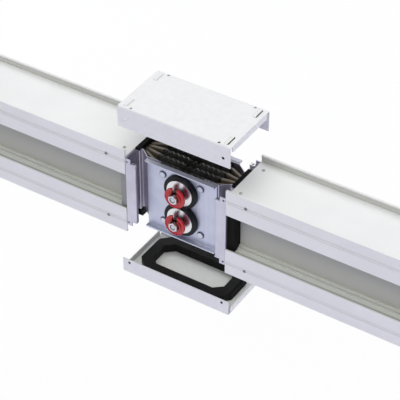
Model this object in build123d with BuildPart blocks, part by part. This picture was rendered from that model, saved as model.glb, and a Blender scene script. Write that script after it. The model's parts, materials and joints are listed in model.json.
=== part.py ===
from build123d import *
import math
import os

os.makedirs("parts", exist_ok=True)

# Two lengths of busway meet at a bolted joint. The origin is the middle of the joint,
# X runs along the busway, Y across it and Z up. All sizes are millimetres.

# Housing of one length: two side profiles, a top plate and a bottom plate.
housing_width = 140.0
housing_height = 212.0
housing_gap = 240.0
section_length = 500.0
profile_wall = 3.0
rail_height = 61.0
recess_depth = 30.0
plate_depth = 16.0
plate_thickness = 3.0
plate_side_gap = 0.5
lip_hook = 2.0
lip_hook_height = 3.0
floor_drop = 4.0
step_rise = 3.5
step_run = 5.0
groove_count = 2
groove_size = 1.6
groove_from_edge = 25.0
groove_spacing = 5.0

# Busbars: bare contact ends, and a coated length that fans out of the housing.
bar_count = 4
bar_thickness = 6.0
bar_coating = 1.0
bar_side_gap = 9.0
bar_edge_rounding = 2.5
bar_pitch = 9.8
bar_bend_radius = 12.0
bar_end_gap = 28.0
contact_length = 52.0
fan_start = 107.0
fan_end = 75.0
channel_side_gap = 1.3

# Joint stack between the two side plates.
splice_thickness = 4.0
splice_length = 124.0
splice_inset = 1.0
splice_lead_in = 1.2
insulator_thickness = 5.5
outer_insulator_thickness = 2.25
insulator_length = 144.0
insulator_inset = 2.0
tooth_pitch = 12.0
tooth_gap = 6.0
tooth_depth = 4.0

# Side plates of the joint.
side_plate_length = 166.0
side_plate_drop = 4.0
side_plate_thickness = 3.0
side_plate_flange = 13.5
side_plate_bend_radius = 3.5
boss_radius = 7.5
boss_height = 3.0
boss_rounding = 1.2
boss_spacing_x = 90.0
boss_from_edge = 26.0

# Bolts across the stack.
bolt_spacing = 71.0
bolt_radius = 8.0
bolt_running_gap = 0.05
bolt_hole_radius = 9.0
bolt_turning_gap = 0.3
bolt_tail = 9.0
sleeve_radius = 10.0
sleeve_gap = 0.05
splice_hole_gap = 0.5
retainer_radius = 39.0
retainer_thickness = 8.0
retainer_chamfer = 1.0
washer_radius = 30.0
washer_thickness = 2.5
washer_dish = 3.5
inner_head_across_flats = 24.0
inner_head_height = 9.7
outer_head_across_flats = 19.0
outer_head_height = 7.0
head_recess_radius = 6.0
head_recess_depth = 1.0
neck_radius = 6.0
neck_length = 5.0
nut_across_flats = 27.0
nut_height = 13.0
hex_chamfer = 1.4

# Red indicator discs, pushed sideways on to the necks of the bolts.
disc_radius = 23.2
disc_thickness = 4.0
disc_neck_gap = 0.2
disc_hub_width = 4.0
disc_hub_height = 2.0
disc_hub_gap = 0.6
disc_rim_width = 2.0
disc_rim_height = 1.0

# Earth sheets that wrap round the end boots and run out to the side plates.
sheet_thickness = 1.5
sheet_overlap = 31.0
sheet_bend_radius = 1.6
sheet_corner_gap = 2.5
sheet_foot_edge = 21.3
sheet_bottom_gap = 20.0
slit_height = 10.0
slit_rise = 14.0
slit_width = 2.4
slit_margin = 2.0

# End boots.
boot_half_width = 32.0
boot_corner_cut = 6.0
boot_corner_rounding = 1.5
boot_depth = 10.0
boot_comb_length = 30.0
boot_cheek_length = 17.5
boot_cheek_proud = 22.0
boot_cheek_rounding = 1.5
boot_side_gap = 0.2
boot_top_gap = 2.0

# End brackets.
bracket_thickness = 2.5
bracket_reach = 25.0
bracket_strip = 13.5
bracket_wing_cut = 11.0
bracket_return = 8.0
bracket_inner_edge = 34.0
bracket_bend_radius = 2.0
bracket_hole_radius = 2.5
bracket_hole_from_end = 5.0
bracket_hole_from_edge = 7.0
tab_hole_from_strip = 5.0
tab_hole_from_face = 4.7
tab_hole_radius = 2.0

# Screws of the housing.
screw_radius = 2.5
screw_head_radius = 3.6
screw_head_height = 1.6
screw_length = 12.0
screw_hole_gap = 0.15
socket_across_flats = 3.0
socket_depth = 1.0
rail_screw_from_end = 46.0
plate_screw_from_end = 18.5
plate_screw_spacing = 87.0

# Covers of the joint, drawn where they stand lifted off.
cover_lap = 11.0
cover_thickness = 2.0
cover_side_gap = 1.0
cover_bend_radius = 3.0
top_flange = 49.2
bottom_flange = 37.0
cover_seat_gap = 0.3
cover_lift = 107.7
cover_hole_radius = 3.0
flange_hole_radius = 3.2
cover_hole_from_end = 29.0
cover_hole_from_side = 6.0
louvre_length = 28.0
louvre_width = 8.0
louvre_height = 2.5
louvre_wall = 1.2
louvre_from_end = 14.5
louvre_spacing_y = 104.0

# Gaskets glued inside the covers.
gasket_boot_lap = 3.0
gasket_width = 122.0
gasket_corner = 30.0
gasket_hole_length = 178.0
gasket_hole_width = 74.0
gasket_hole_corner_x = 19.0
gasket_hole_corner_y = 16.0
gasket_seat_gap = 0.3

# Places that several pieces share.
half_width = housing_width / 2
half_height = housing_height / 2
section_near = housing_gap / 2
section_far = section_near + section_length
section_middle = Plane.YZ.offset((section_near + section_far) / 2)
lip_face = half_width - profile_wall
web_face = half_width - recess_depth
recess_half = half_height - rail_height
rail_floor = recess_half + floor_drop
cheek_half = rail_floor - 2 * step_rise
floor_steps = [
    (web_face + 2 * step_run, rail_floor),
    (web_face + 2 * step_run, rail_floor - step_rise),
    (web_face + step_run, rail_floor - step_rise),
    (web_face + step_run, cheek_half),
]
plate_top = half_height - plate_depth
ledge = plate_top - plate_thickness
groove_height = half_height - groove_from_edge
coated_thickness = bar_thickness + 2 * bar_coating
coated_height = 2 * (ledge - bar_side_gap)
bar_height = coated_height - 2 * bar_coating
splice_height = bar_height - 2 * splice_inset
side_plate_height = 2 * (plate_top - side_plate_drop)
insulator_height = side_plate_height - 2 * insulator_inset
boss_spacing_z = side_plate_height - 2 * boss_from_edge
bracket_height = side_plate_height
bracket_wing_height = bracket_height - 2 * bracket_wing_cut
bracket_hole_spacing = bracket_height - 2 * bracket_hole_from_edge
joint_pitch = bar_thickness + 2 * splice_thickness + insulator_thickness
bar_order = [number - (bar_count - 1) / 2 for number in range(bar_count)]
channel_face = bar_order[-1] * bar_pitch + coated_thickness / 2 + channel_side_gap
channel_wall = channel_face + profile_wall
stack_face = bar_order[-1] * joint_pitch + bar_thickness / 2 + splice_thickness
sheet_inner = stack_face + outer_insulator_thickness
plate_inner = sheet_inner + sheet_thickness
plate_outer = plate_inner + side_plate_thickness
washer_seat = plate_outer + retainer_thickness
washer_face = washer_seat + washer_dish + washer_thickness
head_seat = washer_face + bolt_turning_gap
neck_start = head_seat + inner_head_height
outer_head_start = neck_start + neck_length
bolt_front = outer_head_start + outer_head_height
nut_face = washer_face + nut_height
bolt_back = nut_face + bolt_tail
bolt_heights = {"upper": bolt_spacing / 2, "lower": -bolt_spacing / 2}
boot_face = section_near - boot_depth
gasket_length = 2 * (boot_face + gasket_boot_lap)
cover_inner = half_width + cover_side_gap
cover_closed = half_height + cover_seat_gap
cover_length = housing_gap + 2 * cover_lap
cover_hole_spacing_x = cover_length - 2 * cover_hole_from_end
cover_hole_spacing_y = 2 * (cover_inner + cover_thickness - cover_hole_from_side)
louvre_spacing_x = cover_length - 2 * louvre_from_end
bottom_drop = cover_lift + louvre_height
gasket_bottom = side_plate_height / 2 + gasket_seat_gap
screw_hole_radius = screw_radius + screw_hole_gap
rail_screw_ends = [section_near + rail_screw_from_end, section_far - rail_screw_from_end]
plate_screw_ends = [section_near + plate_screw_from_end, section_far - plate_screw_from_end]
rail_screw_seats = [
    Plane(origin=(end, half_width, height), z_dir=(0, 1, 0))
    for end in rail_screw_ends
    for height in (groove_height, -groove_height)
]
plate_screw_seats = [
    Plane(origin=(end, plate_screw_spacing / 2, side * plate_top), z_dir=(0, 0, side))
    for end in plate_screw_ends
    for side in (1, -1)
]


def save(piece, label):
    """Label a finished piece and write it to its own file."""
    piece.label = label
    export_step(piece, f"parts/{label}.step")
    print(label)


def mirrored(piece, about):
    """The same piece on the other side of a plane."""
    with BuildPart() as twin:
        mirror(piece, about=about)
    return twin.part


def with_twin(piece, about):
    """A piece and its mirror image, two solids that share one node."""
    with BuildPart() as pair:
        add(piece)
        mirror(about=about)
    return pair.part


def make_profile():
    """Back side profile of the right-hand length: two hollow rails on a hollow web."""
    with BuildPart() as profile:
        with BuildSketch(Plane.YZ.offset(section_near)):
            with BuildLine():
                Polyline(
                    (channel_face, 0),
                    (channel_face, ledge),
                    (lip_face, ledge),
                    (lip_face, half_height - lip_hook_height),
                    (lip_face - lip_hook, half_height - lip_hook_height),
                    (lip_face - lip_hook, half_height),
                    (half_width, half_height),
                    (half_width, recess_half),
                    (lip_face, recess_half),
                    (lip_face, rail_floor),
                    *floor_steps,
                    (web_face, cheek_half),
                    (web_face, 0),
                    close=True,
                )
            make_face()
            # Rail, inner and web chamber: inner side, outer side, bottom, top.
            chambers = [
                (web_face + profile_wall, lip_face, rail_floor + profile_wall, ledge - profile_wall),
                (channel_wall, web_face, cheek_half + profile_wall, ledge - profile_wall),
                (channel_wall, web_face - profile_wall, profile_wall / 2, cheek_half),
            ]
            for inner, outer, low, high in chambers:
                with Locations(((inner + outer) / 2, (low + high) / 2)):
                    Rectangle(outer - inner, high - low, mode=Mode.SUBTRACT)
            for number in range(groove_count):
                with Locations((half_width, groove_height - number * groove_spacing)):
                    Rectangle(groove_size, groove_size, rotation=45, mode=Mode.SUBTRACT)
            mirror(about=Plane.XZ)
        extrude(amount=section_length)
        # The web is notched at both ends for the cheeks of the boots.
        notch_middle = (channel_face + web_face) / 2
        for end in (section_near + boot_cheek_length / 2, section_far - boot_cheek_length / 2):
            with Locations((end, notch_middle, 0)):
                Box(
                    boot_cheek_length,
                    web_face - channel_face,
                    2 * cheek_half,
                    mode=Mode.SUBTRACT,
                )
        with Locations(*rail_screw_seats, *plate_screw_seats):
            Hole(screw_hole_radius, depth=screw_length)
    return profile.part


def make_plate():
    """Top plate of the right-hand length, lying between the lips of the two profiles."""
    with BuildPart() as plate:
        with BuildSketch(Plane.XY.offset(ledge)):
            with Locations(((section_near + section_far) / 2, 0)):
                Rectangle(section_length, 2 * (lip_face - plate_side_gap))
                with GridLocations(
                    section_length - 2 * plate_screw_from_end, plate_screw_spacing, 2, 2
                ):
                    Circle(screw_hole_radius, mode=Mode.SUBTRACT)
        extrude(amount=plate_thickness)
    return plate.part


def make_screws():
    """All the button-head screws of the right-hand length, each a solid of its own."""
    with BuildPart() as screw:
        with BuildSketch(Plane.XZ):
            with BuildLine():
                Polyline(
                    (0, screw_head_height),
                    (0, -screw_length),
                    (screw_radius, -screw_length),
                    (screw_radius, 0),
                    (screw_head_radius, 0),
                    (screw_head_radius, screw_head_height / 3),
                    (screw_head_radius * 2 / 3, screw_head_height),
                    close=True,
                )
            make_face()
        revolve(axis=Axis.Z)
        with BuildSketch(Plane.XY.offset(screw_head_height)):
            RegularPolygon(socket_across_flats / 2, 6, major_radius=False)
        extrude(amount=-socket_depth, mode=Mode.SUBTRACT)
    with BuildPart() as screws:
        with Locations(*rail_screw_seats, *plate_screw_seats):
            add(screw.part)
        mirror(about=Plane.XZ)
    return screws.part


def bar_route(start, section_y, joint_y):
    """Middle line of a bar, from the joint through its fan and the housing to the far joint."""
    near_end = [(start, joint_y), (fan_end, joint_y), (fan_start, section_y)]
    far_end = [(section_near + section_far - x, y) for x, y in reversed(near_end)]
    return near_end + far_end


def make_busbar(section_y, joint_y):
    """A busbar of the right-hand length: bare contact ends, coated and fanned out between."""
    bare_start = bar_end_gap / 2
    coat_start = bare_start + contact_length
    with BuildPart() as bar:
        with BuildSketch(Plane.XY.offset(-bar_height / 2)):
            with BuildLine() as core:
                FilletPolyline(*bar_route(bare_start, section_y, joint_y), radius=bar_bend_radius)
            trace(core.line, line_width=bar_thickness)
        extrude(amount=bar_height)
        # The coating is one rounded section, swept along the bar.
        with BuildLine() as coat:
            FilletPolyline(*bar_route(coat_start, section_y, joint_y), radius=bar_bend_radius)
        with BuildSketch(Plane(origin=coat.line @ 0, x_dir=(0, 1, 0), z_dir=coat.line % 0)):
            RectangleRounded(coated_thickness, coated_height, bar_edge_rounding)
        sweep(path=coat.line)
    return bar.part


def make_boot():
    """Near boot of the right-hand length: a frame, a comb for the bars and two cheeks."""
    cheek_face = web_face + boot_cheek_proud
    with BuildPart() as boot:
        with BuildSketch(Plane.YZ.offset(boot_face)):
            with BuildLine():
                Polyline(
                    (0, plate_top),
                    (boot_half_width, plate_top),
                    (boot_half_width, boot_corner_cut - plate_top),
                    (boot_half_width - boot_corner_cut, -plate_top),
                    (0, -plate_top),
                    close=True,
                )
            make_face()
            mirror(about=Plane.YZ)
        extrude(amount=boot_depth)
        wrapped_corners = (
            boot.edges()
            .filter_by(Axis.Z)
            .filter_by_position(Axis.X, boot_face - 0.1, boot_face + 0.1)
            .filter_by(lambda edge: abs(edge.center().Y) > boot_half_width - 0.1)
        )
        fillet(wrapped_corners, boot_corner_rounding)
        # The cheeks fill the ends of the side recesses down to their stepped floors.
        with BuildSketch(Plane.YZ.offset(section_near)):
            with BuildLine():
                Polyline(
                    (0, 0),
                    (cheek_face, 0),
                    (cheek_face, rail_floor),
                    *floor_steps,
                    (0, cheek_half),
                    close=True,
                )
            make_face()
            mirror(about=Plane.XZ)
            mirror(about=Plane.YZ)
        extrude(amount=boot_cheek_length)
        with BuildSketch(Plane.YZ.offset(section_near)):
            Rectangle(2 * (channel_face - boot_side_gap), 2 * (ledge - boot_top_gap))
        extrude(amount=boot_comb_length)
        cheek_corners = (
            boot.edges()
            .filter_by(Axis.Z)
            .filter_by_position(
                Axis.X, section_near + boot_cheek_length - 0.1, section_near + boot_cheek_length + 0.1
            )
            .filter_by(lambda edge: abs(edge.center().Y) > web_face + 2 * step_run)
        )
        fillet(cheek_corners, boot_cheek_rounding)
        with BuildSketch(Plane.YZ.offset(boot_face)):
            for order in bar_order:
                with Locations((order * bar_pitch, 0)):
                    Rectangle(coated_thickness, coated_height)
        extrude(amount=boot_depth + boot_comb_length, mode=Mode.SUBTRACT)
    return boot.part


def make_earth_sheet():
    """Near back earth sheet of the right-hand length, wrapped round the boot's side and face."""
    foot = boot_face - sheet_thickness / 2
    wrap = boot_half_width + sheet_thickness / 2
    middle = sheet_inner + sheet_thickness / 2
    corner = side_plate_length / 2 + sheet_corner_gap
    sheet_bottom = sheet_bottom_gap - side_plate_height / 2
    with BuildPart() as sheet:
        with BuildSketch(Plane.XY.offset(sheet_bottom)):
            with BuildLine() as bends:
                FilletPolyline(
                    (section_near, wrap),
                    (foot, wrap),
                    (foot, sheet_foot_edge),
                    (corner, middle),
                    (side_plate_length / 2 - sheet_overlap, middle),
                    radius=sheet_bend_radius,
                )
            trace(bends.line, line_width=sheet_thickness)
        extrude(amount=side_plate_height / 2 - sheet_bottom)
        # A slanted slit in the wrapped side lets it give when the sheet is pushed over the boot.
        with BuildSketch(Plane.XZ.offset(-boot_half_width - sheet_thickness)):
            with BuildLine():
                Polyline(
                    (boot_face + slit_margin, slit_height + slit_rise / 2),
                    (boot_face + slit_margin, slit_height + slit_rise / 2 + slit_width),
                    (section_near - slit_margin, slit_height - slit_rise / 2 + slit_width),
                    (section_near - slit_margin, slit_height - slit_rise / 2),
                    close=True,
                )
            make_face()
        extrude(amount=sheet_thickness, mode=Mode.SUBTRACT)
    return sheet.part


def make_bracket():
    """Near back end bracket of the right-hand length, bent from one strip."""
    middle = bracket_thickness / 2
    wing_edge = section_near - bracket_reach
    strip_edge = section_near - bracket_strip
    wing_middle = (wing_edge + strip_edge) / 2
    wing_cut = (bracket_height - bracket_wing_height) / 2
    return_middle = half_width - bracket_return / 2
    with BuildPart() as bracket:
        with BuildSketch(Plane.XY.offset(-bracket_height / 2)):
            with BuildLine() as bends:
                FilletPolyline(
                    (section_near - middle, bracket_inner_edge),
                    (section_near - middle, half_width - middle),
                    (wing_edge + middle, half_width - middle),
                    (wing_edge + middle, half_width - bracket_return),
                    radius=bracket_bend_radius,
                )
            trace(bends.line, line_width=bracket_thickness)
        extrude(amount=bracket_height)
        for side in (1, -1):
            cut_middle = side * (bracket_height - wing_cut) / 2
            with Locations((wing_middle, return_middle, cut_middle)):
                Box(strip_edge - wing_edge, bracket_return, wing_cut, mode=Mode.SUBTRACT)
            tab_middle = side * (bracket_wing_height - bracket_thickness) / 2
            with Locations((wing_middle, return_middle, tab_middle)):
                Box(strip_edge - wing_edge, bracket_return, bracket_thickness)
            with Locations(
                (strip_edge - tab_hole_from_strip, half_width - tab_hole_from_face, tab_middle)
            ):
                Hole(tab_hole_radius, depth=bracket_thickness)
        for height in (bracket_hole_spacing / 2, -bracket_hole_spacing / 2):
            hole_origin = (section_near - bracket_hole_from_end, half_width, height)
            with Locations(Plane(origin=hole_origin, z_dir=(0, 1, 0))):
                Hole(bracket_hole_radius, depth=2 * bracket_thickness)
    return bracket.part


def make_splices(joint_y):
    """The two splice plates that clamp one phase's bars, one on each face of the bars."""
    with BuildPart() as splices:
        for side in (1, -1):
            face = joint_y + side * (bar_thickness / 2)
            outer = face + side * splice_thickness
            with BuildSketch(Plane.XY.offset(-splice_height / 2)):
                with BuildLine():
                    # Both ends are bevelled on the bar's side to lead the bars in.
                    Polyline(
                        (-splice_length / 2, face + side * splice_lead_in),
                        (-splice_length / 2 + splice_thickness, face),
                        (splice_length / 2 - splice_thickness, face),
                        (splice_length / 2, face + side * splice_lead_in),
                        (splice_length / 2, outer),
                        (-splice_length / 2, outer),
                        close=True,
                    )
                make_face()
            extrude(amount=splice_height)
        for height in bolt_heights.values():
            with Locations(Plane(origin=(0, joint_y, height), z_dir=(0, 1, 0))):
                Hole(sleeve_radius + splice_hole_gap, depth=joint_pitch)
    return splices.part


def make_insulator(middle, thickness):
    """An insulating sheet of the stack with castellated top and bottom edges."""
    tooth_count = int((insulator_length - tooth_pitch) // tooth_pitch)
    with BuildPart() as insulator:
        with BuildSketch(Plane.XZ.offset(-middle - thickness / 2)):
            Rectangle(insulator_length, insulator_height)
            for edge in (1, -1):
                with Locations((0, edge * (insulator_height - tooth_depth) / 2)):
                    with GridLocations(tooth_pitch, tooth_depth, tooth_count, 1):
                        Rectangle(tooth_gap, tooth_depth, mode=Mode.SUBTRACT)
            for height in bolt_heights.values():
                with Locations((0, height)):
                    Circle(sleeve_radius + sleeve_gap, mode=Mode.SUBTRACT)
        extrude(amount=thickness)
    return insulator.part


def make_sleeves():
    """Insulating tubes that keep the bolts clear of the bars and splice plates."""
    with BuildPart() as sleeves:
        with BuildSketch(Plane.XZ.offset(-plate_inner)):
            for height in bolt_heights.values():
                with Locations((0, height)):
                    Circle(sleeve_radius)
                    Circle(bolt_radius + bolt_running_gap, mode=Mode.SUBTRACT)
        extrude(amount=2 * plate_inner)
    return sleeves.part


def make_side_plate():
    """Back side plate of the joint, with flanges turned outwards and four pressed bosses."""
    flange_edge = plate_inner + side_plate_flange
    flange_middle = (side_plate_height - side_plate_thickness) / 2
    middle = plate_inner + side_plate_thickness / 2
    with BuildPart() as side_plate:
        with BuildSketch(Plane.YZ.offset(-side_plate_length / 2)):
            with BuildLine() as bends:
                FilletPolyline(
                    (flange_edge, flange_middle),
                    (middle, flange_middle),
                    (middle, -flange_middle),
                    (flange_edge, -flange_middle),
                    radius=side_plate_bend_radius,
                )
            trace(bends.line, line_width=side_plate_thickness)
        extrude(amount=side_plate_length)
        with BuildSketch(Plane.XZ.offset(-plate_outer)):
            with GridLocations(boss_spacing_x, boss_spacing_z, 2, 2):
                Circle(boss_radius)
        extrude(amount=-boss_height)
        boss_rims = side_plate.edges().filter_by(GeomType.CIRCLE).group_by(Axis.Y)[-1]
        fillet(boss_rims.filter_by(lambda rim: rim.radius == boss_radius), boss_rounding)
        with Locations(
            *(Plane(origin=(0, plate_inner, height), z_dir=(0, 1, 0))
              for height in bolt_heights.values())
        ):
            Hole(bolt_hole_radius, depth=2 * side_plate_thickness)
    return side_plate.part


def make_retainer():
    """Back retainer: one black plate, shaped as two touching discs, under both washers."""
    with BuildPart() as retainer:
        for height in bolt_heights.values():
            with BuildSketch(Plane.YZ):
                with BuildLine():
                    Polyline(
                        (plate_outer, height),
                        (plate_outer, height + retainer_radius),
                        (washer_seat - retainer_chamfer, height + retainer_radius),
                        (washer_seat, height + retainer_radius - retainer_chamfer),
                        (washer_seat, height),
                        close=True,
                    )
                make_face()
            revolve(axis=Axis((0, 0, height), (0, 1, 0)))
        for height in bolt_heights.values():
            with Locations(Plane(origin=(0, plate_outer, height), z_dir=(0, 1, 0))):
                Hole(bolt_hole_radius, depth=2 * retainer_thickness)
    return retainer.part


def make_washers():
    """The two dished spring washers on the back of the joint."""
    with BuildPart() as washers:
        for height in bolt_heights.values():
            with BuildSketch(Plane.YZ):
                with BuildLine():
                    Polyline(
                        (washer_seat, height + washer_radius),
                        (washer_seat + washer_thickness, height + washer_radius),
                        (washer_face, height + bolt_hole_radius),
                        (washer_seat + washer_dish, height + bolt_hole_radius),
                        close=True,
                    )
                make_face()
            revolve(axis=Axis((0, 0, height), (0, 1, 0)))
    return washers.part


def make_bolt(height):
    """A double-headed bolt: shank, inner head, neck and the outer head that shears off."""
    corner = 1 / math.cos(math.pi / 6)
    inner_corner = inner_head_across_flats / 2 * corner
    outer_corner = outer_head_across_flats / 2 * corner
    with BuildPart() as bolt:
        for start, end, across_flats in (
            (head_seat, neck_start, inner_head_across_flats),
            (outer_head_start, bolt_front, outer_head_across_flats),
        ):
            with BuildSketch(Plane.XZ.offset(start)):
                with Locations((0, height)):
                    RegularPolygon(across_flats / 2, 6, major_radius=False, rotation=30)
            extrude(amount=end - start)
        for start, end, radius in (
            (-bolt_back, head_seat, bolt_radius),
            (neck_start, outer_head_start, neck_radius),
        ):
            with BuildSketch(Plane.XZ.offset(start)):
                with Locations((0, height)):
                    Circle(radius)
            extrude(amount=end - start)
        # The corners of both heads and the tip of the shank are turned off at a slant.
        with BuildSketch(Plane.YZ):
            with BuildLine():
                Polyline(
                    (bolt_back, height),
                    (bolt_back, height + bolt_radius - hex_chamfer),
                    (bolt_back - hex_chamfer, height + bolt_radius),
                    (bolt_back - hex_chamfer, height + inner_corner),
                    (-neck_start + hex_chamfer, height + inner_corner),
                    (-neck_start, height + inner_head_across_flats / 2),
                    (-outer_head_start, height + outer_corner),
                    (-bolt_front + hex_chamfer, height + outer_corner),
                    (-bolt_front, height + outer_head_across_flats / 2),
                    (-bolt_front, height),
                    close=True,
                )
            make_face()
        revolve(axis=Axis((0, 0, height), (0, 1, 0)), mode=Mode.INTERSECT)
        with BuildSketch(Plane.XZ.offset(bolt_front)):
            with Locations((0, height)):
                Circle(head_recess_radius)
        extrude(amount=-head_recess_depth, mode=Mode.SUBTRACT)
    return bolt.part


def make_indicator(height):
    """A red indicator disc with a rim, a hub ring and a slot for the neck of the bolt."""
    hub_inner = outer_head_across_flats / 2 / math.cos(math.pi / 6) + disc_hub_gap
    slot = 2 * (neck_radius + disc_neck_gap)
    with BuildPart() as disc:
        with BuildSketch(Plane.XZ.offset(neck_start)):
            with Locations((0, height)):
                Circle(disc_radius)
        extrude(amount=disc_thickness)
        for outer, inner, rise in (
            (disc_radius, disc_radius - disc_rim_width, disc_rim_height),
            (hub_inner + disc_hub_width, hub_inner, disc_hub_height),
        ):
            with BuildSketch(Plane.XZ.offset(neck_start + disc_thickness)):
                with Locations((0, height)):
                    Circle(outer)
                    Circle(inner, mode=Mode.SUBTRACT)
            extrude(amount=rise)
        with BuildSketch(Plane.XZ.offset(neck_start)):
            with Locations((0, height)):
                Circle(slot / 2)
            with Locations((0, height + disc_radius / 2)):
                Rectangle(slot, disc_radius)
        extrude(amount=disc_thickness + disc_hub_height, mode=Mode.SUBTRACT)
    return disc.part


def make_nuts():
    """The two nuts on the back of the joint, chamfered on their outer face."""
    height = bolt_heights["upper"]
    corner = nut_across_flats / 2 / math.cos(math.pi / 6)
    with BuildPart() as nut:
        with BuildSketch(Plane.XZ.offset(-nut_face)):
            with Locations((0, height)):
                RegularPolygon(nut_across_flats / 2, 6, major_radius=False, rotation=30)
                Circle(bolt_radius + bolt_running_gap, mode=Mode.SUBTRACT)
        extrude(amount=nut_height)
        with BuildSketch(Plane.YZ):
            with BuildLine():
                Polyline(
                    (washer_face, height),
                    (washer_face, height + corner),
                    (nut_face - hex_chamfer, height + corner),
                    (nut_face, height + nut_across_flats / 2),
                    (nut_face, height),
                    close=True,
                )
            make_face()
        revolve(axis=Axis((0, 0, height), (0, 1, 0)), mode=Mode.INTERSECT)
    return with_twin(nut.part, Plane.XY)


def make_cover(flange, lift, louvred):
    """A cover of the joint lifted off upwards: a flat top with a flange down each side."""
    middle_y = cover_inner + cover_thickness / 2
    middle_z = cover_closed + lift + cover_thickness / 2
    top = cover_closed + lift + cover_thickness
    flange_edge = top - flange
    hole_height = lift + bracket_hole_spacing / 2
    with BuildPart() as cover:
        with BuildSketch(Plane.YZ.offset(-cover_length / 2)):
            with BuildLine() as bends:
                FilletPolyline(
                    (-middle_y, flange_edge),
                    (-middle_y, middle_z),
                    (middle_y, middle_z),
                    (middle_y, flange_edge),
                    radius=cover_bend_radius,
                )
            trace(bends.line, line_width=cover_thickness)
        extrude(amount=cover_length)
        with Locations((0, 0, top)):
            with GridLocations(cover_hole_spacing_x, cover_hole_spacing_y, 2, 2):
                Hole(cover_hole_radius, depth=2 * cover_thickness)
        for side in (1, -1):
            hole_x = side * (section_near - bracket_hole_from_end)
            with Locations(Plane(origin=(hole_x, 0, hole_height), z_dir=(0, 1, 0))):
                Hole(flange_hole_radius, depth=cover_inner + 2 * cover_thickness)
        if louvred:
            root = (louvre_spacing_x - louvre_width) / 2
            mouth = (louvre_spacing_x + louvre_width) / 2
            slot_root = root + louvre_wall * louvre_width / louvre_height
            hood = [(root, top), (mouth, top), (mouth, top + louvre_height)]
            slot = [
                (slot_root, top),
                (slot_root, top - cover_thickness),
                (mouth, top - cover_thickness),
                (mouth, top + louvre_height - louvre_wall),
            ]
            for end in (1, -1):
                for middle in (louvre_spacing_y / 2, -louvre_spacing_y / 2):
                    with BuildSketch(Plane.XZ.offset(-middle)):
                        Polygon(*[(end * x, z) for x, z in hood], align=None)
                    extrude(amount=louvre_length / 2, both=True)
                    with BuildSketch(Plane.XZ.offset(-middle)):
                        Polygon(*[(end * x, z) for x, z in slot], align=None)
                    extrude(amount=louvre_length / 2 - louvre_wall, both=True, mode=Mode.SUBTRACT)
    return cover.part


def make_gasket(lift):
    """An octagonal gasket lifted off with its cover, stepped at both ends to lap the boots."""
    reach = gasket_length / 2
    side = gasket_width / 2
    hole_reach = gasket_hole_length / 2
    hole_side = gasket_hole_width / 2
    height = cover_closed - gasket_bottom
    bottom = gasket_bottom + lift
    step_height = plate_top - side_plate_height / 2
    step_start = boot_face - gasket_seat_gap
    with BuildPart() as gasket:
        with BuildSketch(Plane.XY.offset(bottom)):
            for length, width, corner_x, corner_y, mode in (
                (reach, side, gasket_corner, gasket_corner, Mode.ADD),
                (hole_reach, hole_side, gasket_hole_corner_x, gasket_hole_corner_y, Mode.SUBTRACT),
            ):
                quarter = [(length, width - corner_y), (length - corner_x, width)]
                half = quarter + [(-x, y) for x, y in reversed(quarter)]
                Polygon(*half, *[(-x, -y) for x, y in half], align=None, mode=mode)
        extrude(amount=height)
        for end in (1, -1):
            with Locations((end * (step_start + reach) / 2, 0, bottom + step_height / 2)):
                Box(reach - step_start, gasket_width, step_height, mode=Mode.SUBTRACT)
    return gasket.part


def save_both_lengths(piece, name):
    """Write a piece of the right-hand length, and its mirror image on the left."""
    save(piece, f"right_{name}")
    save(mirrored(piece, Plane.YZ), f"left_{name}")


# The housings of the two lengths.
back_profile = make_profile()
save_both_lengths(back_profile, "back_profile")
save_both_lengths(mirrored(back_profile, Plane.XZ), "front_profile")
top_plate = make_plate()
save_both_lengths(top_plate, "top_plate")
save_both_lengths(mirrored(top_plate, Plane.XY), "bottom_plate")
save_both_lengths(make_screws(), "screws")

# The bars of the two lengths, numbered from front to back.
for number, order in enumerate(bar_order, start=1):
    save_both_lengths(make_busbar(order * bar_pitch, order * joint_pitch), f"busbar_{number}")

# The ends of the two lengths. The far end is the near end mirrored.
boot = make_boot()
save_both_lengths(boot, "near_boot")
save_both_lengths(mirrored(boot, section_middle), "far_boot")
for piece, name in ((make_bracket(), "bracket"), (make_earth_sheet(), "earth_sheet")):
    save_both_lengths(piece, f"near_back_{name}")
    save_both_lengths(mirrored(piece, Plane.XZ), f"near_front_{name}")
    save_both_lengths(with_twin(mirrored(piece, section_middle), Plane.XZ), f"far_{name}s")

# The joint between the two lengths.
for number, order in enumerate(bar_order, start=1):
    save(make_splices(order * joint_pitch), f"splice_pair_{number}")
outer_middle = stack_face + outer_insulator_thickness / 2
save(make_insulator(-outer_middle, outer_insulator_thickness), "joint_insulator_1")
for number in range(2, bar_count + 1):
    middle = (number - 1 - bar_count / 2) * joint_pitch
    save(make_insulator(middle, insulator_thickness), f"joint_insulator_{number}")
save(make_insulator(outer_middle, outer_insulator_thickness), f"joint_insulator_{bar_count + 1}")
save(make_sleeves(), "bolt_sleeves")
side_plate = make_side_plate()
retainer = make_retainer()
washers = make_washers()
for piece, name in ((side_plate, "side_plate"), (retainer, "retainer"), (washers, "washers")):
    save(piece, f"joint_back_{name}")
    save(mirrored(piece, Plane.XZ), f"joint_front_{name}")
save(make_nuts(), "bolt_nuts")
for name, height in bolt_heights.items():
    save(make_bolt(height), f"{name}_bolt")
    save(make_indicator(height), f"{name}_indicator")

# The covers and their gaskets.
save(make_cover(top_flange, cover_lift, louvred=True), "top_cover")
save(make_gasket(cover_lift), "top_gasket")
bottom_cover = make_cover(bottom_flange, bottom_drop, louvred=False)
save(mirrored(bottom_cover, Plane.XY), "bottom_cover")
save(mirrored(make_gasket(bottom_drop), Plane.XY), "bottom_gasket")
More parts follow.
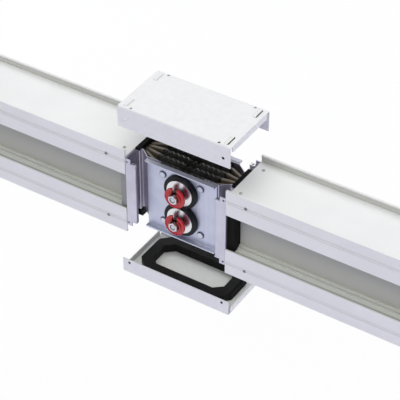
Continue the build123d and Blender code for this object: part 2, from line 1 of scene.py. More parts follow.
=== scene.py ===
# %% [markdown]
# Busway joint, dressed for its portrait
#
# A busway is a row of flat bars in a metal housing that carries heavy current through a building.
# Here two lengths of it meet at a bolted joint whose covers are lifted off. The shapes come from
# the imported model; this file gives every piece its finish, adds the small things that a solid
# model leaves out, and sets the light and the camera. All lengths are in metres. X runs along the
# busway, the picture looks at the side of low Y, and Z is up.

# %% Load the frame
import json
import math

import bmesh
import bpy
from mathutils import Matrix, Vector


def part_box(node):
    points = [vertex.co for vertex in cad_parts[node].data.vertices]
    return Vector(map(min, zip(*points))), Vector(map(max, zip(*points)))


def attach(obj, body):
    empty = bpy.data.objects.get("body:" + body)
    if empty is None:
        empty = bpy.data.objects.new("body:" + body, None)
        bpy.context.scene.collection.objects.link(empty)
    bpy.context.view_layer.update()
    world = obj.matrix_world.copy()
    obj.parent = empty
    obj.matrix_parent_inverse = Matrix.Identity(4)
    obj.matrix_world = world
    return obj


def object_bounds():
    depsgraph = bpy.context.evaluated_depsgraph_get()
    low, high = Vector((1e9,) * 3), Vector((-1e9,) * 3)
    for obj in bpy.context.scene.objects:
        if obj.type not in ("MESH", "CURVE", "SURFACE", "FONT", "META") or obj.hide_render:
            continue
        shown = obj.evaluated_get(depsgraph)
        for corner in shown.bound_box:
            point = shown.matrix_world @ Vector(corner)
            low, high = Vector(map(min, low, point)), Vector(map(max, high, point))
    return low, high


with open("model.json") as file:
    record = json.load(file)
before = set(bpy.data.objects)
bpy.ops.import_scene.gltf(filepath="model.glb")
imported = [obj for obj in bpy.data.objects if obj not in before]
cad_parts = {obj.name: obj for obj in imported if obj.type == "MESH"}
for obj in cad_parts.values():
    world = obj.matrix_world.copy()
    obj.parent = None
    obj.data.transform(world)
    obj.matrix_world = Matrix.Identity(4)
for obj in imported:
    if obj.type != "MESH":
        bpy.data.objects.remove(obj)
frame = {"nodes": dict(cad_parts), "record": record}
cad_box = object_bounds()
nodes = frame["nodes"]


# %% [markdown]
# Every finish is a small shader: nodes that pass numbers and colours on to one main shader. Written
# out one by one they fill pages, so a few helpers keep the recipes readable. Any input can be fed
# with a plain value or with the output of another node, and a sum is a node like any other.

# %% Nodes and sums
def feed(owner, socket, value):
    """Set an input to a plain value, or connect another node's output to it."""
    if isinstance(value, bpy.types.NodeSocket):
        owner.node_tree.links.new(value, socket)
    elif socket.type == "RGBA":
        socket.default_value = (*value, 1)
    else:
        socket.default_value = value


def add_node(owner, kind, **settings):
    """One node for a material or world; settings are its properties, or inputs by name."""
    node = owner.node_tree.nodes.new(kind)
    for key, value in settings.items():
        if key in node.inputs:
            feed(owner, node.inputs[key], value)
        else:
            setattr(node, key, value)
    return node


def calculate(owner, operation, *values):
    """The result of one sum or comparison on numbers and other nodes' outputs."""
    node = add_node(owner, "ShaderNodeMath", operation=operation)
    for socket, value in zip(node.inputs, values):
        feed(owner, socket, value)
    return node.outputs[0]


def rescale(owner, value, old_range, new_range):
    """Map a value from an old range onto a new one, and hold it within the new one."""
    node = add_node(owner, "ShaderNodeMapRange", Value=value)
    names = ("From Min", "From Max", "To Min", "To Max")
    for name, limit in zip(names, (*old_range, *new_range)):
        node.inputs[name].default_value = limit
    return node.outputs["Result"]


def axes_of(owner, coordinates="Object"):
    """The three coordinates of a point as separate outputs."""
    place = add_node(owner, "ShaderNodeTexCoord")
    axes = add_node(owner, "ShaderNodeSeparateXYZ", Vector=place.outputs[coordinates])
    return axes.outputs


print("helpers: feed, add_node, calculate, rescale, axes_of")


# %% [markdown]
# Colours need three tools: a ramp that turns a number into a colour, a way to lay one colour over
# another, and plain arithmetic for a tone that is a little lighter or darker. Laying a colour over
# what is there already is what lets a finish grow step by step, like coats of paint.

# %% Colours
def grey(tone):
    """A colour without hue."""
    return (tone, tone, tone)


def shaded(colour, share):
    """A colour made lighter or darker by a share."""
    return tuple(min(1.0, channel * share) for channel in colour)


def colour_ramp(owner, factor, stops, interpolation="LINEAR"):
    """A ramp through (position, colour) stops, which are given from low to high."""
    node = add_node(owner, "ShaderNodeValToRGB", Fac=factor)
    ramp = node.color_ramp
    ramp.interpolation = interpolation
    ramp.elements[0].position = stops[0][0]
    ramp.elements[1].position = stops[-1][0]
    for position, colour in stops[1:-1]:
        ramp.elements.new(position)
    for element, (position, colour) in zip(ramp.elements, stops):
        element.color = (*colour, 1)
    return node.outputs["Color"]


def mixed(owner, factor, under, over, blend="MIX"):
    """One colour laid over another by a factor; each is a plain value or an output."""
    node = add_node(owner, "ShaderNodeMix", data_type="RGBA", blend_type=blend,
                    Factor=factor, A=under, B=over)
    return node.outputs["Result"]


def set_look(material, key, value):
    """Feed an input of a material's main shader."""
    feed(material, material.node_tree.nodes["Principled BSDF"].inputs[key], value)


def recolour(material, factor, colour, blend="MIX"):
    """Lay a colour over the base colour that a material has so far."""
    base = material.node_tree.nodes["Principled BSDF"].inputs["Base Color"]
    so_far = base.links[0].from_socket
    set_look(material, "Base Color", mixed(material, factor, so_far, colour, blend))


print("a tenth darker than mid grey:", shaded(grey(0.5), 0.9))


# %% [markdown]
# Nothing real has one flat colour, gloss and surface. All finishes here vary the three with noise
# on Object coordinates, which stays fixed to the piece when it moves. Noise keeps close to a half,
# so it is spread before it drives anything. The last helper rounds hard edges for the light and
# lets a pattern stand out as relief.

# %% Patterns and relief
even = (1, 1, 1)
noise_range = (0.3, 0.7)
noise_dark, noise_light = 0.32, 0.68
coat_roughness = 0.12
edge_samples = 6


def new_finish(name, metallic=0.0, roughness=0.5, coat=0.0, specular=0.5):
    """A material with the plain inputs of its main shader set."""
    material = bpy.data.materials.new(name)
    material.use_nodes = True
    for key, value in (("Metallic", metallic), ("Roughness", roughness), ("Coat Weight", coat),
                       ("Coat Roughness", coat_roughness), ("Specular IOR Level", specular)):
        set_look(material, key, value)
    return material


def object_pattern(material, stretch, scale, detail=4.0):
    """Noise on Object coordinates, squeezed by a stretch for each axis."""
    place = add_node(material, "ShaderNodeTexCoord")
    mapping = add_node(material, "ShaderNodeMapping", Vector=place.outputs["Object"],
                       Scale=stretch)
    noise = add_node(material, "ShaderNodeTexNoise", Vector=mapping.outputs["Vector"],
                     Scale=scale, Detail=detail)
    return noise.outputs["Fac"]


def spread(material, noise, low, high):
    """Turn noise into a number between low and high."""
    return rescale(material, noise, noise_range, (low, high))


def shade_between(material, noise, dark, light):
    """Turn noise into a colour between dark and light."""
    return colour_ramp(material, noise, [(noise_dark, dark), (noise_light, light)])


def raise_relief(material, pattern, depth, strength=0.5, edge=0.0006):
    """Soften the edges by a radius and let a pattern push the surface by a depth."""
    soft_edge = add_node(material, "ShaderNodeBevel", Radius=edge, samples=edge_samples)
    bump = add_node(material, "ShaderNodeBump", Strength=strength, Distance=depth,
                    Height=pattern, Normal=soft_edge.outputs["Normal"])
    set_look(material, "Normal", bump.outputs["Normal"])


print("noise spread from", noise_range, "edges softened with", edge_samples, "samples")


# %% [markdown]
# The housings and covers are powder coated: an electrostatic powder melts into an even film with
# a faint orange-peel skin. A flat white would look like paper. Fine noise gives the skin instead,
# and a second, slower noise lets the white drift by a percent or two.

# %% Powder coat
drift_tones = (0.975, 1.02)
skin_gloss = 0.06
paint_shine = 0.4
paint_edge = 0.0004


def powder_coat(name, colour, roughness, grain, depth, mottle=9.0):
    """White powder coat with a slow drift of its tone and an orange-peel skin."""
    material = new_finish(name, roughness=roughness, specular=paint_shine)
    drift = object_pattern(material, even, mottle)
    dark, light = (shaded(colour, tone) for tone in drift_tones)
    set_look(material, "Base Color", shade_between(material, drift, dark, light))
    skin = object_pattern(material, even, grain, detail=6.0)
    set_look(material, "Roughness",
             spread(material, skin, roughness - skin_gloss, roughness + skin_gloss))
    raise_relief(material, skin, depth, edge=paint_edge)
    return material


finishes = {}
finishes["housing_paint"] = powder_coat(
    "housing_paint", (0.80, 0.80, 0.81), roughness=0.5, grain=900.0, depth=0.00008)
finishes["cover_paint"] = powder_coat(
    "cover_paint", (0.80, 0.80, 0.82), roughness=0.52, grain=420.0, depth=0.0002, mottle=95.0)
print("powder coated:", ", ".join(finishes))


# %% [markdown]
# The sheet steel pieces are zinc plated after rolling. The rolling leaves long thin streaks, so
# the pattern is squeezed across the grain and stretched along it. The streaks change brightness
# and roughness together, which is what makes brushed metal shimmer as it turns.

# %% Plated sheet steel
streak_scale = 240.0
streak_depth = 0.00004
streak_gloss = (-0.08, 0.1)
cloud_scale = 26.0
cloud_shade = (0.88, 0.88, 0.9)


def plated_sheet(name, colour, roughness, stretch, contrast=0.14, metallic=0.85):
    """Rolled and plated sheet: streaks along the grain under a slow, cloudy haze."""
    material = new_finish(name, metallic=metallic, roughness=roughness)
    grain = object_pattern(material, stretch, streak_scale, detail=5.0)
    cloud = object_pattern(material, even, cloud_scale, detail=3.0)
    streaked = shade_between(material, grain, shaded(colour, 1 - contrast),
                             shaded(colour, 1 + contrast))
    clouded = shade_between(material, cloud, cloud_shade, grey(1.0))
    set_look(material, "Base Color", mixed(material, 1.0, streaked, clouded, "MULTIPLY"))
    smooth, dull = (roughness + change for change in streak_gloss)
    set_look(material, "Roughness", spread(material, grain, smooth, dull))
    raise_relief(material, grain, streak_depth, strength=0.4)
    return material


finishes["plated_steel"] = plated_sheet(
    "plated_steel", (0.60, 0.63, 0.76), roughness=0.40, stretch=(1, 1, 0.02), contrast=0.05,
    metallic=0.7)
finishes["bracket_steel"] = plated_sheet(
    "bracket_steel", (0.63, 0.62, 0.71), roughness=0.42, stretch=(1, 1, 0.03), contrast=0.05,
    metallic=0.6)
finishes["earth_steel"] = plated_sheet(
    "earth_steel", (0.66, 0.63, 0.72), roughness=0.34, stretch=(1, 1, 0.02), contrast=0.05)
finishes["splice_metal"] = plated_sheet(
    "splice_metal", (0.055, 0.050, 0.045), roughness=0.6, stretch=(0.03, 1, 1))
print(len(finishes), "finishes with the sheet metals")


# %% [markdown]
# Moulded black pieces, rubber and the insulating sheets scatter light softly. What gives them
# away as real is a fine spark-eroded texture and a slow change in gloss. The brown epoxy on the
# bars, the red discs and the small screws take the same recipe with a clear coat or more shine.

# %% Moulded and coated pieces
slow_scale = 34.0
gloss_drift = 0.08


def moulding(name, colour, roughness, grain, depth, coat=0.0, drift=0.25, shine=0.5):
    """A moulded or dipped skin; shine is how much of the light glances off it."""
    material = new_finish(name, roughness=roughness, coat=coat, specular=shine)
    slow = object_pattern(material, even, slow_scale)
    set_look(material, "Base Color",
             shade_between(material, slow, shaded(colour, 1 - drift), shaded(colour, 1 + drift)))
    fine = object_pattern(material, even, grain, detail=5.0)
    set_look(material, "Roughness",
             spread(material, slow, roughness - gloss_drift, roughness + gloss_drift))
    raise_relief(material, fine, depth)
    return material


finishes["boot_moulding"] = moulding(
    "boot_moulding", grey(0.006), roughness=0.5, grain=700.0, depth=0.00005, shine=0.06)
finishes["gasket_rubber"] = moulding(
    "gasket_rubber", (0.007, 0.007, 0.008), roughness=0.7, grain=1100.0, depth=0.00015,
    shine=0.25)
finishes["bar_coating"] = moulding(
    "bar_coating", (0.135, 0.106, 0.078), roughness=0.36, grain=260.0, depth=0.00006, coat=0.3)
finishes["insulator_moulding"] = moulding(
    "insulator_moulding", (0.044, 0.043, 0.044), roughness=0.75, grain=300.0, depth=0.0001,
    drift=0.5, shine=0.12)
finishes["retainer_moulding"] = moulding(
    "retainer_moulding", (0.007, 0.007, 0.011), roughness=0.42, grain=600.0, depth=0.00005,
    shine=0.2)
finishes["indicator_red"] = moulding(
    "indicator_red", (0.58, 0.004, 0.012), roughness=0.22, grain=500.0, depth=0.00002,
    coat=0.35, drift=0.04, shine=0.35)
finishes["screw_steel"] = moulding(
    "screw_steel", (0.30, 0.30, 0.33), roughness=0.4, grain=900.0, depth=0.00002)
print(len(finishes), "finishes with the mouldings")


# %% [markdown]
# The dished spring washers and the bolts are machined and bright plated. They are nearly mirrors,
# so their look is mostly what they reflect: here the red discs in front of the washers. A thin
# haze keeps the mirror from being perfect, and any relief would only break the reflection.

# %% Bright plating
haze_scale = 60.0
haze_tones = (0.95, 1.03)
haze_gloss = (0.9, 1.1)


def bright_plating(name, colour, roughness):
    """Polished plating with a thin haze."""
    material = new_finish(name, metallic=1.0, roughness=roughness)
    haze = object_pattern(material, even, haze_scale, detail=2.0)
    dark, light = (shaded(colour, tone) for tone in haze_tones)
    smooth, dull = (roughness * share for share in haze_gloss)
    set_look(material, "Base Color", shade_between(material, haze, dark, light))
    set_look(material, "Roughness", spread(material, haze, smooth, dull))
    return material


finishes["washer_chrome"] = bright_plating("washer_chrome", (0.74, 0.74, 0.77), 0.27)
finishes["bolt_zinc"] = bright_plating("bolt_zinc", (0.52, 0.53, 0.58), 0.30)
print(len(finishes), "finishes with the bright ones")


# %% [markdown]
# The powder cloud barely reaches into the deep recess along each side, so the film is thin there
# and the grey of the metal shows through: all of it on the back wall, less on the stepped floor.
# Over that grey the recess gets painted shade, as the rail above overhangs it: the back wall is
# darkest, the edges of the two steps get painted highlights, and the gutter behind the lip gets a
# painted shadow. All of it depends on the depth alone, so one colour ramp over the distance from
# the middle plane draws it. The foot of the back wall is painted paler, as if the floor threw light
# on it. Two comparisons keep the tint below the rails and behind the outer skin of the lip.

# %% Thin film and painted shade in the recess
outer_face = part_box("right_back_profile")[1].y
lip_wall = 0.003
recess_depth = 0.030
recess_half = 0.0492
skin_allowance = 0.0001
wall_allowance = 0.0006
foot_starts, foot_ends = 0.010, -0.042
foot_strength = 0.5
painted_bounce_colour = (0.74, 0.74, 0.62)
film_and_shade_tones = [  # from the back wall, at 0, to the back of the lip, at 1
    (0.00, (0.41, 0.41, 0.37)), (0.03, (0.66, 0.66, 0.63)), (0.13, grey(0.58)),
    (0.15, (0.82, 0.82, 0.83)), (0.20, (0.82, 0.82, 0.83)), (0.22, grey(0.44)),
    (0.33, grey(0.50)), (0.36, (0.76, 0.76, 0.77)), (0.45, grey(0.67)), (0.66, grey(0.65)),
    (0.76, grey(0.36)), (1.00, (0.42, 0.42, 0.40)),
]


def film_and_painted_shade(material):
    """Tint the side recesses with thin film and painted shade, by a ramp from their back wall to
    their lip.
    """
    axes = axes_of(material)
    back_wall = outer_face - recess_depth
    lip_back = outer_face - lip_wall
    depth = calculate(material, "ABSOLUTE", axes["Y"])
    height = calculate(material, "ABSOLUTE", axes["Z"])
    below_rails = calculate(material, "LESS_THAN", height, recess_half)
    behind_lip = calculate(material, "LESS_THAN", depth, lip_back + skin_allowance)
    share = rescale(material, depth, (back_wall, lip_back), (0, 1))
    on_wall = calculate(material, "COMPARE", depth, back_wall, wall_allowance)
    near_foot = rescale(material, axes["Z"], (foot_starts, foot_ends), (0, foot_strength))
    lit = calculate(material, "MULTIPLY", on_wall, near_foot)
    # the ramp mixes the grey of thin film with painted shade and painted highlights; the foot gets
    # painted bounce light
    film = mixed(material, lit, colour_ramp(material, share, film_and_shade_tones), painted_bounce_colour)
    recolour(material, calculate(material, "MULTIPLY", below_rails, behind_lip), film)


film_and_painted_shade(finishes["housing_paint"])
print(len(film_and_shade_tones), "tones across", recess_depth - lip_wall, "m of recess")


# %% [markdown]
# The louvres of the top cover are pressed out of the sheet and stay white like it. What lets the
# eye find them is painted shade: in the fold at their root, and at their mouth. Both follow from
# the place on the cover, so narrow strips along X, cut off at the ends of the louvre, paint it.

# %% Shade at the louvres
louvre_shade_strips = [  # from, to and tone of the painted shade: the right mouth, the left root, the right root
    (0.1200, 0.1212, 0.06), (-0.1150, -0.1110, 0.78), (0.1108, 0.1126, 0.85)]
louvre_middle = 0.052
louvre_half = 0.0132
shaded_above = 0.2155


def louvre_shade(material):
    """Paint shade at the mouth and the root of the louvres on the top cover."""
    axes = axes_of(material)
    across = calculate(material, "ABSOLUTE", axes["Y"])
    within = calculate(material, "COMPARE", across, louvre_middle, louvre_half)
    high = calculate(material, "GREATER_THAN", axes["Z"], shaded_above)
    on_louvre = calculate(material, "MULTIPLY", within, high)
    for near, far, tone in louvre_shade_strips:
        strip = calculate(material, "COMPARE", axes["X"], (near + far) / 2, (far - near) / 2)
        share = calculate(material, "MULTIPLY", strip, on_louvre)
        recolour(material, share, grey(tone), "MULTIPLY")


louvre_shade(finishes["cover_paint"])
print(len(louvre_shade_strips), "strips of shade at the louvres")


# %% [markdown]
# Some pieces change colour at a plane, and several of these bands are painted light and shade.
# One node holds all the screws of a length: those in the sides have painted shade in the socket of
# a lighter head, those in the plates are coated over in the plates' own grey. The bars are brown in
# the middle and bare at their ends, and inside the joint the bare ends get painted shade. Two
# grooves run along each rail, with painted shade in them, and the inner face of the back lip gets
# painted shade. The inner legs of the front brackets get painted shade and those at the back painted
# light, and the left boot gets painted light on its cheek where it shows in the recess. The top
# flange of the side plates gets a painted shadow of the cover, and the necks of the bolts behind the
# discs get painted shade with a painted red reflection of the discs. Splitting the meshes would be
# one way. A band of colour between two planes is simpler, and it leaves the shapes alone.

# %% Bands of another colour
plate_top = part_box("joint_front_side_plate")[1].z
groove_half = 0.0008
bare_middle, bare_half = 0.700, 0.0262
bare_metal = (0.40, 0.39, 0.37)
bands = [  # finish, axis, middle, half width, colour; a later band lies over an earlier one
    ("housing_paint", "Z", 0.081, groove_half, grey(0.64)),  # painted shade in the upper grooves
    ("housing_paint", "Z", 0.076, groove_half, grey(0.70)),
    ("housing_paint", "Z", -0.076, groove_half, grey(0.70)),  # painted shade in the lower grooves
    ("housing_paint", "Z", -0.081, groove_half, grey(0.64)),
    ("housing_paint", "Y", 0.0670, 0.0005, (0.66, 0.66, 0.65)),  # painted shade on the inner face of the back lip
    ("screw_steel", "Y", 0.0, 0.0707, (0.012, 0.012, 0.020)),  # painted shade in the sockets of the side screws
    ("screw_steel", "Y", 0.0, 0.060, grey(0.42)),  # screws in the plates
    ("bracket_steel", "Y", -0.0336, 0.0336, (0.26, 0.25, 0.32)),  # inner legs in front, in shade
    ("bracket_steel", "Y", 0.0336, 0.0330, (0.85, 0.85, 0.84)),  # inner legs at the back, painted light
    ("bar_coating", "X", 0.0, 0.0740, (0.030, 0.028, 0.027)),  # painted shade on the bare ends inside the joint
    ("bar_coating", "X", bare_middle, bare_half, bare_metal),  # clean ends of both lengths
    ("bar_coating", "X", -bare_middle, bare_half, bare_metal),
    ("boot_moulding", "X", -0.1420, 0.0205, (0.32, 0.32, 0.31)),  # painted light on the cheeks of the left boot
    ("plated_steel", "Z", plate_top, 0.0007, (0.45, 0.46, 0.55)),  # flange in the cover's shade
    ("bolt_zinc", "Y", -0.0645, 0.0075, (0.13, 0.09, 0.085)),  # painted shade with a painted red reflection of the discs, on the necks behind them
]


def band(material, axis, middle, half, colour):
    """Give another colour to what lies near a middle along an axis, within a half width."""
    within = calculate(material, "COMPARE", axes_of(material)[axis], middle, half)
    recolour(material, within, colour)


for finish, axis, middle, half, colour in bands:
    band(finishes[finish], axis, middle, half, colour)
print(len(bands), "bands on", len({row[0] for row in bands}), "finishes")


# %% [markdown]
# Round things in this joint change tone with their radius, as painted light and shade: the dished
# discs get painted shade round the hub and a painted highlight at the rim, the pressed bosses of the
# side plates get painted light on top and painted shade in the bend round them, and the heads of the
# bolts get a ring of painted shade at the edge of their shallow recess, lighter inside and outside
# it. The distance from the nearest axis, folded over both middle planes, drives a colour ramp for
# each of them.

# %% Rings round an axis
bolt_height = 0.0355
boss_x, boss_z = 0.045, 0.060
head_face = 0.0772
disc_light_and_shade = [  # radius in metres, and the share of each colour channel there
    (0.0, (0.15, 0.1, 0.1)), (0.009, (0.3, 0.2, 0.2)), (0.014, (0.7, 0.5, 0.5)),
    (0.0195, (0.85, 1.0, 1.0)), (0.0215, (1.0, 4.5, 3.5)), (0.024, (1.05, 3.0, 2.5))]
boss_light_and_shade = [
    (0.0, (1.08, 1.08, 1.02)), (0.0056, (1.05, 1.05, 1.0)), (0.0066, (0.45, 0.45, 0.5)),
    (0.0080, (0.22, 0.22, 0.27)), (0.0092, grey(1.0)), (0.012, grey(1.0))]
head_light_and_shade = [
    (0.0, grey(1.2)), (0.0046, grey(0.95)), (0.0056, (0.28, 0.25, 0.28)),
    (0.0064, (0.5, 0.48, 0.5)), (0.0074, grey(1.25)), (0.012, grey(1.3))]


def rings(material, centre_x, centre_z, tones, beyond=None):
    """Multiply the colour by tones over the distance from axes at plus and minus x and z."""
    axes = axes_of(material)
    offsets = add_node(material, "ShaderNodeCombineXYZ")
    for axis, centre in (("X", centre_x), ("Z", centre_z)):
        folded = calculate(material, "ABSOLUTE", axes[axis])
        feed(material, offsets.inputs[axis], calculate(material, "SUBTRACT", folded, centre))
    distance = add_node(material, "ShaderNodeVectorMath", operation="LENGTH")
    feed(material, distance.inputs[0], offsets.outputs["Vector"])
    reach = tones[-1][0]
    share = calculate(material, "DIVIDE", distance.outputs["Value"], reach)
    stops = [(radius / reach, tone) for radius, tone in tones]
    where = 1.0
    if beyond is not None:
        outside = calculate(material, "ABSOLUTE", axes["Y"])
        where = calculate(material, "GREATER_THAN", outside, beyond)
    recolour(material, where, colour_ramp(material, share, stops, "EASE"), "MULTIPLY")


rings(finishes["indicator_red"], 0.0, bolt_height, disc_light_and_shade)
rings(finishes["plated_steel"], boss_x, boss_z, boss_light_and_shade)
rings(finishes["bolt_zinc"], 0.0, bolt_height, head_light_and_shade, beyond=head_face)
print("rings on the discs, the bosses and the bolt heads")


# %% [markdown]
# Now each piece of the model gets the finish of its slot. Colours are linear values for the real
# finishes: off-white paint, bluish zinc, brown epoxy on the bars, a clear red for the discs that
# tell the fitter the bolt isn't tight yet.

# %% Dress every piece
slot_of = {part["node"]: part["material_slot"] for part in frame["record"]["subparts"]}
for name, piece in nodes.items():
    piece.data.materials.clear()
    piece.data.materials.append(finishes[slot_of[name]])
print(len(finishes), "finishes on", len(slot_of), "nodes")


# %% [markdown]
# A solid model leaves out the smallest pieces, and they are made here. Each is drawn with bmesh, the
# editable form of a mesh, then turned into an object that rides on the body that carries it. Most
# of them are a flat outline given a thickness, or a profile spun round an axis.

# %% Helpers for new pieces
merge_distance = 0.000005


def new_piece(name, form, finish, body):
    """Turn a finished form into an object that rides on a body of the model."""
    bmesh.ops.remove_doubles(form, verts=form.verts, dist=merge_distance)
    bmesh.ops.recalc_face_normals(form, faces=form.faces)
    data = bpy.data.meshes.new(name)
    form.to_mesh(data)
    form.free()
    data.materials.append(finishes[finish])
    piece = bpy.data.objects.new(name, data)
    bpy.context.scene.collection.objects.link(piece)
    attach(piece, body)
    print(name, "rides on", body, "with", len(data.polygons), "faces")


def add_slab(form, start_x, outline, thickness):
    """A flat outline of (y, z) points at one x, given a thickness along X."""
    corners = [form.verts.new((start_x, y, z)) for y, z in outline]
    grown = bmesh.ops.extrude_face_region(form, geom=[form.faces.new(corners)])
    moved = [part for part in grown["geom"] if isinstance(part, bmesh.types.BMVert)]
    bmesh.ops.translate(form, verts=moved, vec=(thickness, 0, 0))


def add_spun(form, profile, axis_x, axis_z, steps=24):
    """A profile of (radius, y) points, spun a full turn round an axis along Y."""
    chain = [form.verts.new((axis_x + radius, y, axis_z)) for radius, y in profile]
    edges = [form.edges.new(pair) for pair in zip(chain, chain[1:])]
    bmesh.ops.spin(form, geom=chain + edges, cent=(axis_x, 0, axis_z), axis=(0, 1, 0),
                   angle=2 * math.pi, steps=steps, use_merge=True)


print("corners closer than", merge_distance, "m become one")


# %% [markdown]
# The covers are trays: besides the deep flanges at the sides, each has a low lip folded across both
# ends, which closes the gap over the sunk plate of the housing. The corners between lip and flange
# stay open, because sheet metal can't be folded two ways at one point. A lip is drawn as a flat
# outline with its free corners cut, then given the thickness of the sheet and soft edges. It is
# narrow enough to slip between the housing's own lips when the cover closes.

# %% Folded lips on the covers
sheet = 0.002
louvre_rise = 0.0025
lip_height = 0.0140
lip_half_width = 0.0642
lip_corner = 0.003
lip_soft_edge = 0.0004
fold_zone = 0.001
cover_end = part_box("top_cover")[1].x
top_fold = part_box("top_cover")[1].z - louvre_rise - sheet
bottom_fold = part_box("bottom_cover")[0].z + sheet
for cover, fold, fall in (("top_cover", top_fold, -1), ("bottom_cover", bottom_fold, 1)):
    form = bmesh.new()
    straight_end = fold + fall * (lip_height - lip_corner)
    free_end = fold + fall * lip_height
    corner_y = lip_half_width - lip_corner
    outline = [(-lip_half_width, fold), (lip_half_width, fold), (lip_half_width, straight_end),
               (corner_y, free_end), (-corner_y, free_end), (-lip_half_width, straight_end)]
    for end in (1, -1):
        add_slab(form, end * cover_end, outline, -end * sheet)
    free_edges = [edge for edge in form.edges
                  if all(abs(point.co.z - fold) > fold_zone for point in edge.verts)]
    bmesh.ops.bevel(form, geom=free_edges, offset=lip_soft_edge, segments=2, profile=0.5,
                    affect="EDGES", material=-1)
    new_piece(cover + "_end_lips", form, "cover_paint", cover)
print("lips end at", round(cover_end, 4))


# %% [markdown]
# In the holes of the flanges sit black captive screws, turned back flush so that they can't be
# lost. The left end of the top cover shows its holes open, so it gets none. A head is a half
# profile from the axis to the rim, spun a full turn round the axis.

# %% Captive screws in the flanges
flange_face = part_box("top_cover")[1].y
screw_x = 0.115
closed_height = 0.079
top_lifted = 0.1077
bottom_dropped = 0.1102
top_screw_z = closed_height + top_lifted
bottom_screw_z = -closed_height - bottom_dropped
head_profile = [  # radius, and depth below the face of the flange
    (0.0, 0.0018), (0.0031, 0.0018), (0.0031, 0.0005), (0.0027, 0.0001),
    (0.0016, 0.0001), (0.0015, 0.0010), (0.0, 0.0012)]
screws_at = (("top_cover", top_screw_z, (1,)), ("bottom_cover", bottom_screw_z, (1, -1)))
for cover, screw_z, ends in screws_at:
    form = bmesh.new()
    for end in ends:
        for side in (1, -1):
            head = [(radius, side * (flange_face - depth)) for radius, depth in head_profile]
            add_spun(form, head, end * screw_x, screw_z)
    new_piece(cover + "_captive_screws", form, "gasket_rubber", cover)
print("screws", round(top_screw_z, 4), round(bottom_screw_z, 4))


# %% [markdown]
# Behind the mouth of each louvre stands a thin upright black strip. It is a painted shadow that
# darkens the opening, not a real part, so a thin strip along the mouth is enough.

# %% Shadow strips in the louvres
mouth_x = 0.1203
shadow_strip_half = 0.0124
shadow_strip_height = 0.0012
shadow_strip_thickness = 0.0006
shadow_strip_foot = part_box("top_cover")[1].z - louvre_rise
form = bmesh.new()
for end in (1, -1):
    for side in (1, -1):
        middle_y = side * louvre_middle
        outline = [(middle_y - shadow_strip_half, shadow_strip_foot), (middle_y + shadow_strip_half, shadow_strip_foot),
                   (middle_y + shadow_strip_half, shadow_strip_foot + shadow_strip_height),
                   (middle_y - shadow_strip_half, shadow_strip_foot + shadow_strip_height)]
        add_slab(form, end * mouth_x, outline, -end * shadow_strip_thickness)
# a black strip in each louvre mouth: painted shadow
new_piece("louvre_shadow_strips", form, "gasket_rubber", "top_cover")


# %% [markdown]
# At the back the ends of the two bolts stand out of their nuts. Their thread is a row of fine
# ridges. A screw's lead hardly shows at this pitch, so the ridges are rings: one sawtooth profile
# along the axis, spun round it.

# %% Threads on the bolt ends
thread_root = 0.0079
thread_crest = 0.0083
thread_pitch = 0.0015
thread_length = 0.0085
thread_steps = 48
last_ridge_room = 1.2 * thread_pitch
bolt_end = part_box("upper_bolt")[1].y
profile = [(thread_root, bolt_end - thread_length)]
while profile[-1][1] < bolt_end - last_ridge_room:
    base = profile[-1][1]
    profile.append((thread_crest, base + thread_pitch / 2))
    profile.append((thread_root, base + thread_pitch))
for name, axis_z in (("upper_bolt", bolt_height), ("lower_bolt", -bolt_height)):
    form = bmesh.new()
    add_spun(form, profile, 0.0, axis_z, steps=thread_steps)
    new_piece(name + "_thread", form, "bolt_zinc", name)
print("bolt ends at", round(bolt_end, 4))


# %% [markdown]
# A product portrait stands on a seamless pale floor. The floor here is a wide sheet well below
# the hanging busway. To the camera it is nearly pure white, and the part of its shader that
# isn't keeps a soft shadow.

# %% Floor
floor_drop = 0.40
floor_reach = 12.0
white_share = 0.93
white = grey(1.0)


def mixed_surfaces(owner, factor, under, over):
    """Two whole shaders mixed by a factor."""
    node = add_node(owner, "ShaderNodeMixShader", Fac=factor)
    feed(owner, node.inputs[1], under)
    feed(owner, node.inputs[2], over)
    return node.outputs["Shader"]


def camera_white(material, surface, share):
    """Mix a share of white glow over a surface, for camera, mirror and glass rays only."""
    rays = add_node(material, "ShaderNodeLightPath").outputs
    seen = calculate(material, "MAXIMUM", rays["Is Camera Ray"], rays["Is Glossy Ray"])
    seen = calculate(material, "MAXIMUM", seen, rays["Is Transmission Ray"])
    glow = add_node(material, "ShaderNodeEmission", Color=white, Strength=1.0)
    return mixed_surfaces(material, calculate(material, "MULTIPLY", seen, share), surface,
                          glow.outputs["Emission"])


floor_height = cad_box[0][2] - floor_drop
floor_form = bmesh.new()
bmesh.ops.create_grid(floor_form, x_segments=1, y_segments=1, size=floor_reach,
                      matrix=Matrix.Translation((0, 0, floor_height)))
floor_data = bpy.data.meshes.new("studio_floor")
floor_form.to_mesh(floor_data)
floor_form.free()
floor = bpy.data.objects.new("studio_floor", floor_data)
bpy.context.scene.collection.objects.link(floor)
floor_finish = new_finish("studio_floor", roughness=0.9)
set_look(floor_finish, "Base Color", grey(0.85))
floor_nodes = floor_finish.node_tree.nodes
feed(floor_finish, floor_nodes["Material Output"].inputs["Surface"],
     camera_white(floor_finish, floor_nodes["Principled BSDF"].outputs["BSDF"], white_share))
floor.data.materials.append(floor_finish)
print("floor at", round(floor_height, 3))


# %% [markdown]
# The light of a white studio comes mostly from a big soft ceiling, less from the walls. The world
# does the same here: its strength grows with the square of the height of the direction that a
# ray leaves in, on top of a low even glow. Deep recesses then darken by themselves. The camera
# itself sees plain white there, so the background stays white from every side.

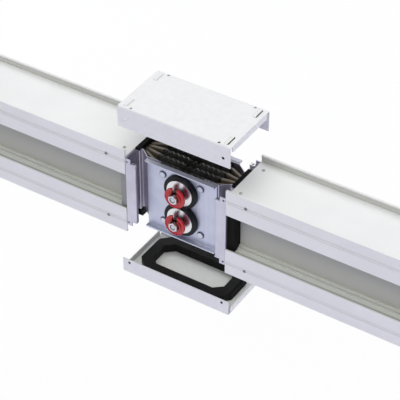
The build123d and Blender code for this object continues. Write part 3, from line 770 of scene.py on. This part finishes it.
# %% Sky
ceiling_strength = 1.30
wall_glow = 0.175
sky_colour = (0.87, 0.86, 0.97)
world = bpy.data.worlds.new("studio")
world.use_nodes = True
bpy.context.scene.world = world
sky = world.node_tree.nodes["Background"]
upward = calculate(world, "MAXIMUM", axes_of(world, "Generated")["Z"], 0.0)
squared = calculate(world, "POWER", upward, 2.0)
feed(world, sky.inputs["Color"], sky_colour)
feed(world, sky.inputs["Strength"],
     calculate(world, "MULTIPLY_ADD", squared, ceiling_strength, wall_glow))
backdrop = add_node(world, "ShaderNodeBackground", Color=white, Strength=1.0)
seen = add_node(world, "ShaderNodeLightPath").outputs["Is Camera Ray"]
feed(world, world.node_tree.nodes["World Output"].inputs["Surface"],
     mixed_surfaces(world, seen, sky.outputs["Background"], backdrop.outputs["Background"]))
print("light from straight above:", ceiling_strength + wall_glow)


# %% [markdown]
# Five soft lamps shape the object in that light. A warm one high in front brightens the faces
# that look up and forward, a neutral one high behind keeps the top faces the lightest, and a
# bluish card low in front gives the upright faces the lavender tint of the picture. Two weak
# ones from the left and right open the shadows of the brackets and of the ends of the covers.

# %% Lamps
lamps = [  # name, place, aim, size in metres, power in watts, colour
    ("front_lamp", (0.2, -1.9, 2.9), (0, 0, 0), 2.2, 27.0, (0.93, 1.0, 0.55)),
    ("back_lamp", (-0.6, 2.0, 2.8), (0, 0, 0), 2.2, 25.0, (0.97, 1.0, 0.86)),
    ("low_card", (0.3, -2.9, -1.0), (0, 0, -0.1), 1.4, 66.0, (0.46, 0.45, 1.0)),
    ("side_card", (-2.8, 0.9, 0.7), (0.1, 0, 0), 1.4, 16.0, (1.0, 0.98, 0.95)),
    ("right_card", (3.0, 0.2, 0.2), (0, 0, 0), 1.4, 20.0, (0.88, 0.86, 1.0)),
]


def aim_at(thing, place, target):
    """Put a lamp or camera in its place and turn it to look at a target."""
    thing.location = place
    look = Vector(target) - Vector(place)
    thing.rotation_euler = look.to_track_quat("-Z", "Y").to_euler()
    bpy.context.scene.collection.objects.link(thing)


def soft_lamp(name, place, aim, size, power, colour):
    """A square lamp that shines from a place towards an aim."""
    data = bpy.data.lights.new(name, "AREA")
    data.shape = "SQUARE"
    data.size = size
    data.energy = power
    data.color = colour
    aim_at(bpy.data.objects.new(name, data), place, aim)


for lamp in lamps:
    soft_lamp(*lamp)
print(len(lamps), "soft lamps")


# %% [markdown]
# The camera was solved from the picture: lines along the busway, across it and upright meet at
# three vanishing points, which fix its direction, distance and lens.

# %% Camera
camera_place = (1.4159, -2.1869, 2.1052)
camera_target = (0.0158, 0.0, -0.0101)
camera_data = bpy.data.cameras.new("portrait")
camera_data.lens = 147.3
camera_data.sensor_width = 36.0
camera_data.clip_end = 60.0
camera = bpy.data.objects.new("portrait", camera_data)
aim_at(camera, camera_place, camera_target)
bpy.context.scene.camera = camera
bpy.context.scene.view_settings.view_transform = "Standard"
print("camera", round(math.dist(camera_target, camera_place), 3), "m away")
